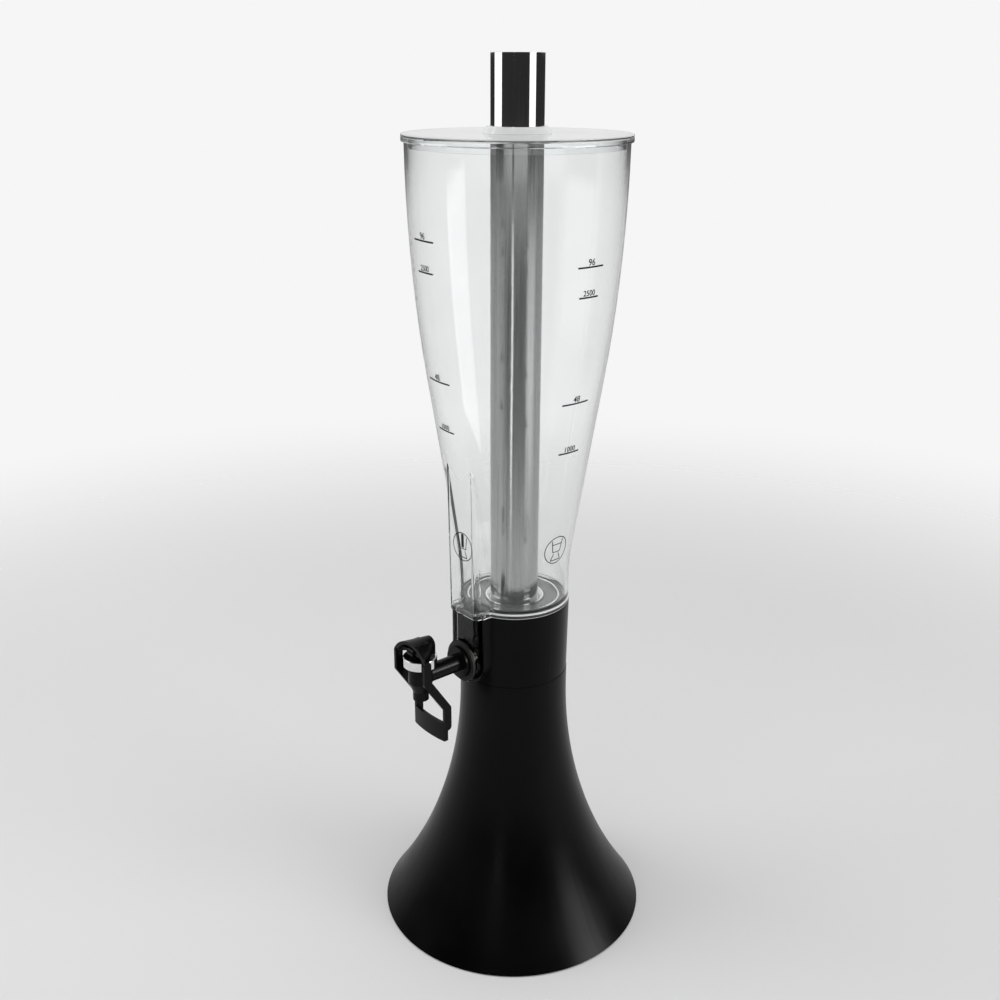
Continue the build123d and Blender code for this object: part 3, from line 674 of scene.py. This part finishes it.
def add_floor():
    """Round pale floor that keeps the object's shadow."""
    mesh = bpy.data.meshes.new("floor")
    shape = bmesh.new()
    bmesh.ops.create_circle(shape, cap_ends=True, radius=FLOOR_RADIUS, segments=FLOOR_SIDES)
    shape.to_mesh(mesh)
    shape.free()
    mesh.materials.append(floor_paper())
    floor = bpy.data.objects.new("floor", mesh)
    bpy.context.scene.collection.objects.link(floor)


def around(degrees, distance, z):
    """Point at an angle to the right of the camera's side of the object."""
    turn = math.radians(degrees)
    return (TO_CAMERA * math.cos(turn) + TO_RIGHT * math.sin(turn)) * distance + UP * z


def facing(tree, direction, degrees):
    """Cosine between a direction and a level one at an angle to the right of the camera."""
    return vector_math(tree, "DOT_PRODUCT", direction, around(degrees, 1, 0)).outputs["Value"]


def levelled(tree, direction):
    """Direction turned level, at length 1."""
    flat = vector_math(tree, "MULTIPLY", direction, LEVEL)
    return vector_math(tree, "NORMALIZE", flat.outputs["Vector"]).outputs["Vector"]


def rays_by_place(tree, path):
    """Values that are 1 for rays mirrored outside the clear wall, by that wall, or by the tube behind it."""
    passed = path.outputs["Transmission Depth"]
    once = faded(tree, path.outputs["Glossy Depth"], 1.0, 2.0)
    return {"outside": faded(tree, passed, 0.0, 1.0),
            "wall": product(tree, eased(tree, passed, 0.0, 1.0), once),
            "tube": eased(tree, passed, 2.0, 3.0)}


def studio_floor(tree, level):
    """Floor in reflections, darker in front and with a glow on either side."""
    front = eased(tree, facing(tree, level, 0), *FRONT_EDGE)
    floor = blend(tree, front, grey(LIT_FLOOR), grey(FRONT_FLOOR))
    for angle, light in FLOOR_GLOWS.values():
        side = eased(tree, facing(tree, level, angle), *FLOOR_GLOW_EDGE)
        floor = blend(tree, side, floor, grey(light))
    return floor


def studio_colour(tree, direction, height, path):
    """Dark studio in reflections, with a lit back, the floor and the patches."""
    level = levelled(tree, direction)
    rays = rays_by_place(tree, path)
    behind = eased(tree, facing(tree, direction, 180), *BACK_EDGE)
    back_wall = product(tree, behind, eased(tree, height, *BACK_RISE))
    studio = blend(tree, back_wall, grey(DARK_STUDIO), grey(LIT_BACK))
    studio = blend(tree, faded(tree, height, *FLOOR_RISE), studio, studio_floor(tree, level))
    for angle, edge, start, end, light, seen_by in PATCHES.values():
        side = eased(tree, facing(tree, level, angle), *edge)
        share = product(tree, side, window(tree, height, *start, *end))
        if seen_by:
            share = product(tree, share, rays[seen_by])
        studio = blend(tree, share, studio, grey(light))
    return studio


def add_world():
    """Even room light, a pale backdrop for the camera, and a studio that only reflections show."""
    world = bpy.data.worlds.new("studio")
    bpy.context.scene.world = world
    world.cycles.sampling_method = "NONE"
    world.use_nodes = True
    tree = world.node_tree
    direction = tree.nodes.new("ShaderNodeTexCoord").outputs["Generated"]
    split = tree.nodes.new("ShaderNodeSeparateXYZ")
    tree.links.new(direction, split.inputs["Vector"])
    height = split.outputs["Z"]
    path = tree.nodes.new("ShaderNodeLightPath")
    diffuse = path.outputs["Is Diffuse Ray"]
    backdrop = blend(tree, eased(tree, height, *CEILING_RISE), grey(BACKDROP_LIGHT), grey(CEILING_LIGHT))
    seen = blend(tree, diffuse, backdrop, grey(ROOM_LIGHT))
    glossy = eased(tree, path.outputs["Glossy Depth"], 0.0, 1.0)
    mirrored = product(tree, glossy, faded(tree, diffuse, 0.0, 1.0))
    colour = blend(tree, mirrored, seen, studio_colour(tree, direction, height, path))
    tree.links.new(colour, tree.nodes["Background"].inputs["Color"])


def add_box(name, degrees, width):
    """Softbox at an angle to the right of the camera, facing the object's axis."""
    data = bpy.data.lights.new(name, "AREA")
    data.shape = "RECTANGLE"
    data.size = width
    data.size_y = BOX_TALL
    data.energy = BOX_RADIANCE * math.pi * width * BOX_TALL
    lamp = bpy.data.objects.new(name, data)
    lamp.location = around(degrees, BOX_DISTANCE, BOX_HEIGHT)
    lamp.rotation_euler = (-around(degrees, 1, 0)).to_track_quat("-Z", "Y").to_euler()
    bpy.context.scene.collection.objects.link(lamp)


def add_camera():
    """Camera where the photograph was taken from."""
    data = bpy.data.cameras.new("camera")
    data.sensor_width = SENSOR_MM
    data.lens = FOCAL_SHARE * SENSOR_MM
    data.clip_start = CLIP_START
    camera = bpy.data.objects.new("camera", data)
    place = TO_CAMERA * VIEW_DISTANCE - TO_RIGHT * VIEW_SIDE + UP * VIEW_HEIGHT
    turn = Matrix.Rotation(VIEW_AZIMUTH, 4, "Z")
    tilt = Matrix.Rotation(math.pi / 2 - VIEW_TILT, 4, "X")
    camera.matrix_world = Matrix.Translation(place) @ turn @ tilt @ Matrix.Rotation(VIEW_ROLL, 4, "Z")
    bpy.context.scene.collection.objects.link(camera)
    bpy.context.scene.camera = camera


bpy.context.scene.view_settings.view_transform = "Standard"
dress_all()
ink = printing_ink()
add_marks("marks_with_tube", MARKS_WITH_TUBE, WITH_TUBE_ANGLE, True, ink)
add_marks("marks_without_tube", MARKS_WITHOUT_TUBE, WITHOUT_TUBE_ANGLE, False, ink)
add_spring()
add_floor()
add_world()
for box, (angle, width) in BOXES.items():
    add_box(box, angle, width)
add_camera()
